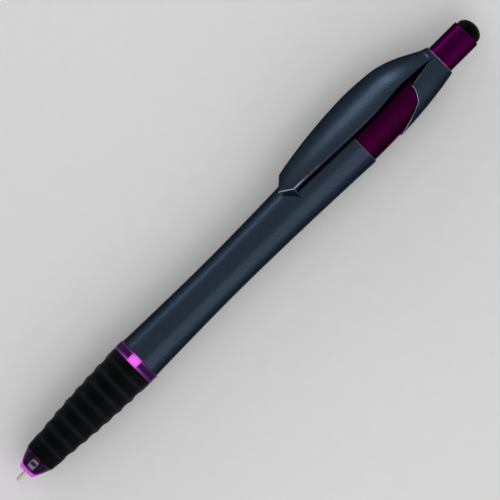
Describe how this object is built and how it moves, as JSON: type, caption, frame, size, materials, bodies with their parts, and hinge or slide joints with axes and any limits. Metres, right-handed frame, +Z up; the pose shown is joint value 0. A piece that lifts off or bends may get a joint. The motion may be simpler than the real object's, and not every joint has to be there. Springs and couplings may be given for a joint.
{
  "type": "light-up stylus pen",
  "caption": "Retractable ballpoint pen with a clear lit nose and glowing ring, ribbed rubber grip, waisted slate barrel, broad clip and a plum push button ending in a soft touch tip.",
  "frame": {"origin": "writing point, where the ball touches the paper", "axes": "+X along the pen from the writing point to the push button, +Z up out of the surface that the pen lies on, the clip leaning from +Z towards +Y"},
  "size_m": [0.146, 0.0158, 0.0158],
  "materials": {
    "clear_plastic": "clear, glowing pink from the lamps",
    "grip_rubber": "matte ribbed rubber",
    "glowing_plastic": "translucent, lit from inside",
    "slate_paint": "satin metallic slate blue lacquer on plastic",
    "plum_plastic": "satin metallic plum",
    "plum_button": "satin metallic magenta plum",
    "touch_rubber": "soft conductive rubber",
    "white_plastic": "moulded",
    "point_steel": "turned metal",
    "ball_metal": "polished",
    "tube_plastic": "clear",
    "ink_paste": "dark paste",
    "spring_steel": "drawn wire and sheet",
    "circuit_film": "amber film with copper tracks",
    "lamp_body": "white frame round a window",
    "black_plastic": "moulded",
    "contact_brass": "stamped sheet",
    "cell_steel": "plated can"
  },
  "bodies": {
    "pen_body": {"nose_cone": "clear_plastic", "grip_core": "clear_plastic", "rubber_grip": "grip_rubber", "light_ring": "glowing_plastic", "barrel": "slate_paint", "upper_sleeve": "plum_plastic", "clip_cap": "slate_paint", "return_spring": "spring_steel", "flex_circuit": "circuit_film", "nose_led": "lamp_body", "ring_led": "lamp_body", "resistor": "black_plastic", "contact_rails": "contact_brass"},
    "clip": {"clip": "slate_paint"},
    "plunger": {"plunger": "plum_button", "stylus_tip": "touch_rubber"},
    "carriage": {"refill_point": "point_steel", "ink_tube": "tube_plastic", "ink": "ink_paste", "battery_carriage": "black_plastic", "carriage_cap": "black_plastic", "button_cells": "cell_steel", "positive_contact": "contact_brass", "negative_contact": "contact_brass", "cell_spring": "spring_steel"},
    "rotor": {"cam_rotor": "white_plastic"},
    "ball": {"writing_ball": "ball_metal"}
  },
  "joints": [
    {"name": "plunger_press", "type": "slide", "parent": "pen_body", "child": "plunger", "axis": [1, 0, 0], "range_m": [-0.0012, 0.005]},
    {"name": "refill_slide", "type": "slide", "parent": "pen_body", "child": "carriage", "axis": [1, 0, 0], "range_m": [-0.0012, 0.005], "deforming": ["return_spring"]},
    {"name": "rotor_index", "type": "hinge", "parent": "carriage", "child": "rotor", "pos_m": [0.1032, 0, 0], "axis": [1, 0, 0], "range_deg": [0, 90]},
    {"name": "ball_roll", "type": "hinge", "parent": "carriage", "child": "ball", "pos_m": [0.00035, 0, 0], "axis": [0, 1, 0], "continuous": true},
    {"name": "clip_flex", "type": "hinge", "parent": "pen_body", "child": "clip", "pos_m": [0.1331, 0.00325, 0.00325], "axis": [0, 0.7071, -0.7071], "range_deg": [0, 4], "stiffness_Nm_per_rad": 1.5}
  ],
  "couplings": [
    {"joint": "refill_slide", "follows": "plunger_press", "ratio": 1}
  ]
}
